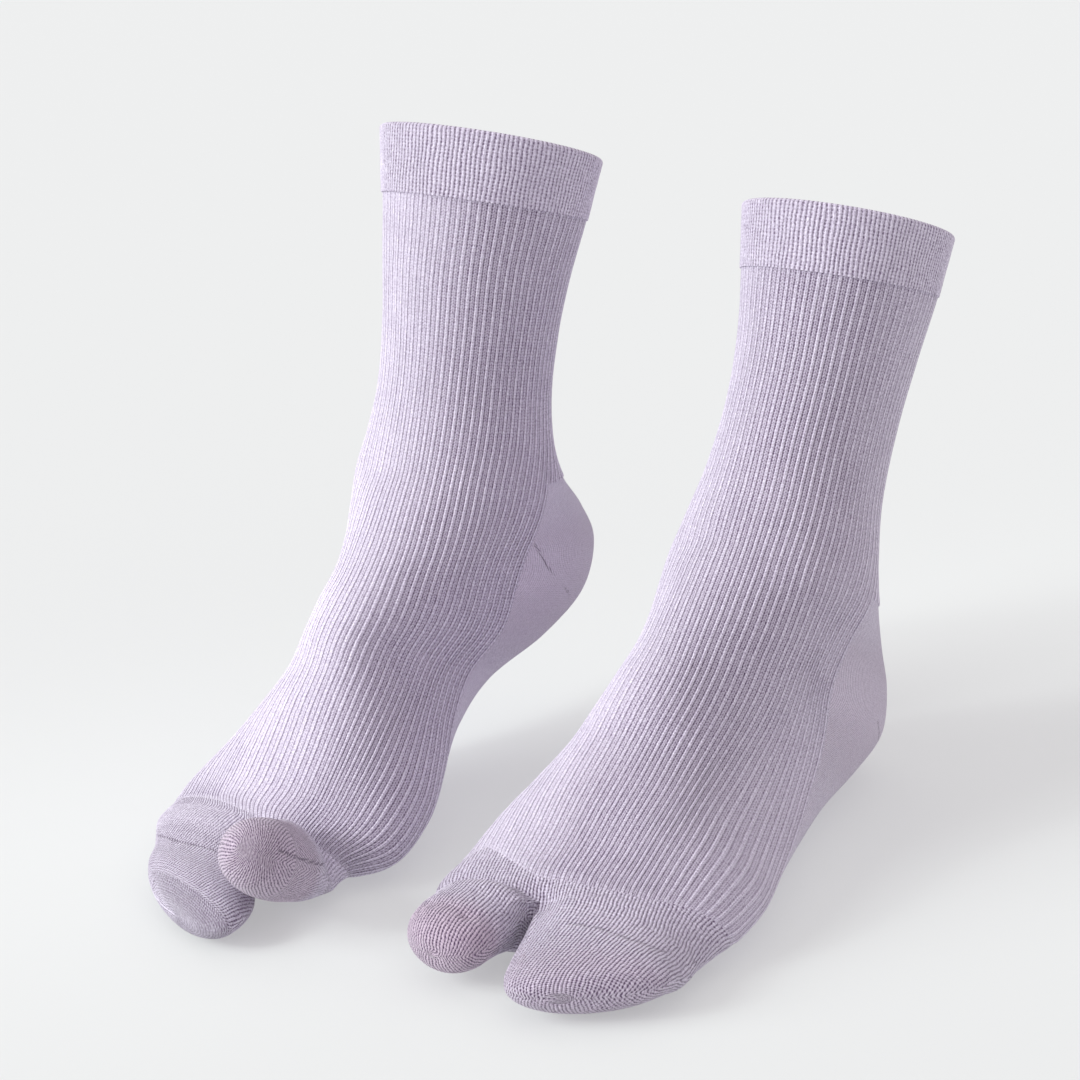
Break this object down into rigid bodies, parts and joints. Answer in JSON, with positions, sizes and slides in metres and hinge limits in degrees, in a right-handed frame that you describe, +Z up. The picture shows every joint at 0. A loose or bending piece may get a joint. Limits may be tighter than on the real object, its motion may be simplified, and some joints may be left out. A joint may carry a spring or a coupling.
{
  "type": "pair of tabi socks",
  "caption": "Ribbed knitted socks with a split big toe, in worn form: turned cuffs, plain heels, soles and toe caps, the left foot flat and the right heel raised.",
  "frame": {"origin": "centre of the left sock's leg opening, where the wearer's leg holds it up", "axes": "+Z up the leg; toes towards -Y; left sock on the +X side, right sock on the -X side"},
  "size_m": [0.2195, 0.2907, 0.2355],
  "materials": {
    "rib_knit": "matte ribbed cotton knit",
    "plain_knit": "matte plain cotton knit",
    "cuff_knit": "matte fine ribbed knit, turned double"
  },
  "bodies": {
    "root": {"left_cuff": "cuff_knit", "left_leg": "rib_knit", "left_heel_sole": "plain_knit", "left_toe": "plain_knit", "right_cuff": "cuff_knit", "right_leg": "rib_knit", "right_heel_sole": "plain_knit", "right_toe": "plain_knit"}
  },
  "joints": []
}
